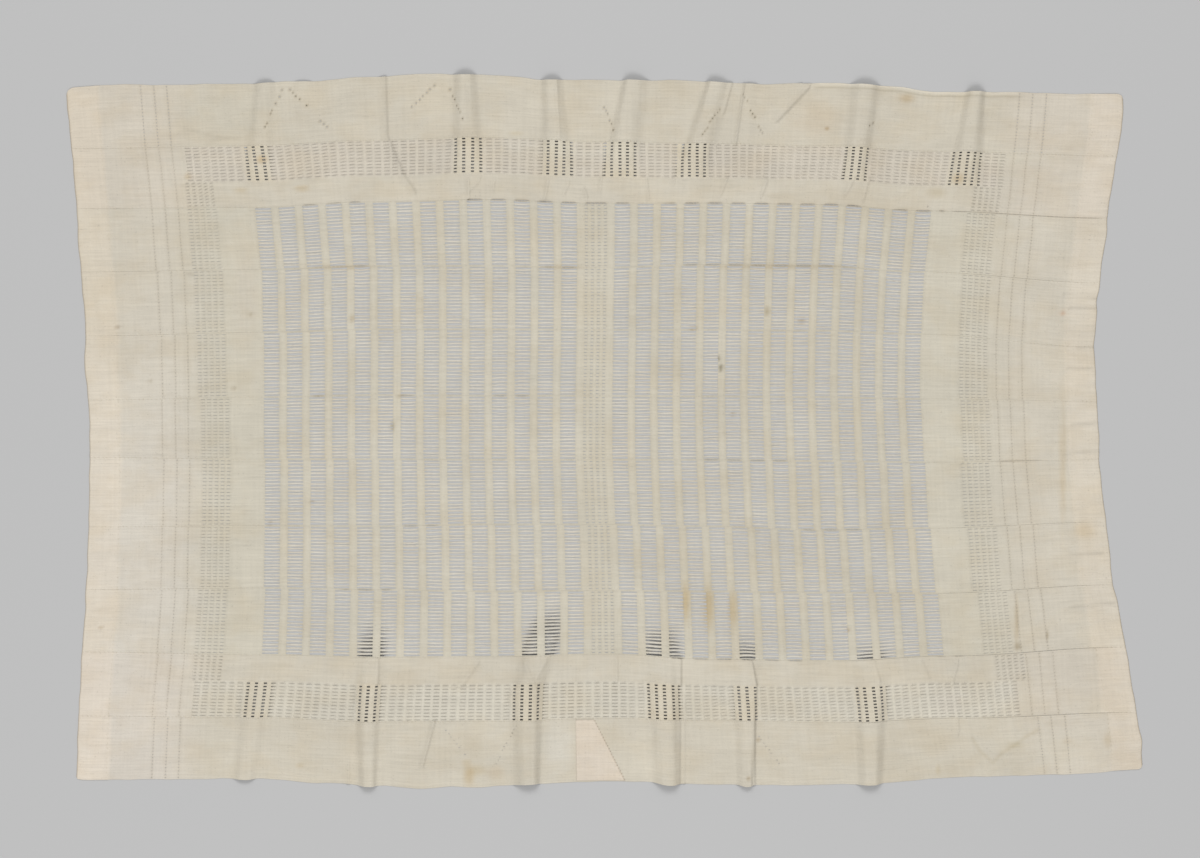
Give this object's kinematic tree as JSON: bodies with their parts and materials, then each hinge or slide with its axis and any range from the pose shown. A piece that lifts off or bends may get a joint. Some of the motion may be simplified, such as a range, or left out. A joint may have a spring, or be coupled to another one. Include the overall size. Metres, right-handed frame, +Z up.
{
  "type": "openwork aso oke cloth",
  "caption": "Flat white openwork cloth of narrow hand-woven cotton strips sewn edge to edge, with hemmed ends, fluted long edges and a small sewn-on repair patch.",
  "frame": {"origin": "under the middle of the cloth's outline, on the surface that it lies on", "axes": "+X along the woven strips, +Y to the far long edge, +Z up out of the cloth's face"},
  "size_m": [1.764, 1.166, 0.015],
  "materials": {
    "plain_cotton": "matte hand-woven cotton",
    "openwork_cotton": "matte openwork cotton",
    "patch_cotton": "matte fine cotton"
  },
  "bodies": {
    "root": {"strip_01": "plain_cotton", "strip_02": "plain_cotton", "strip_03": "openwork_cotton", "strip_04": "openwork_cotton", "strip_05": "openwork_cotton", "strip_06": "openwork_cotton", "strip_07": "openwork_cotton", "strip_08": "openwork_cotton", "strip_09": "openwork_cotton", "strip_10": "plain_cotton", "strip_11": "plain_cotton", "patch": "patch_cotton"}
  },
  "joints": []
}
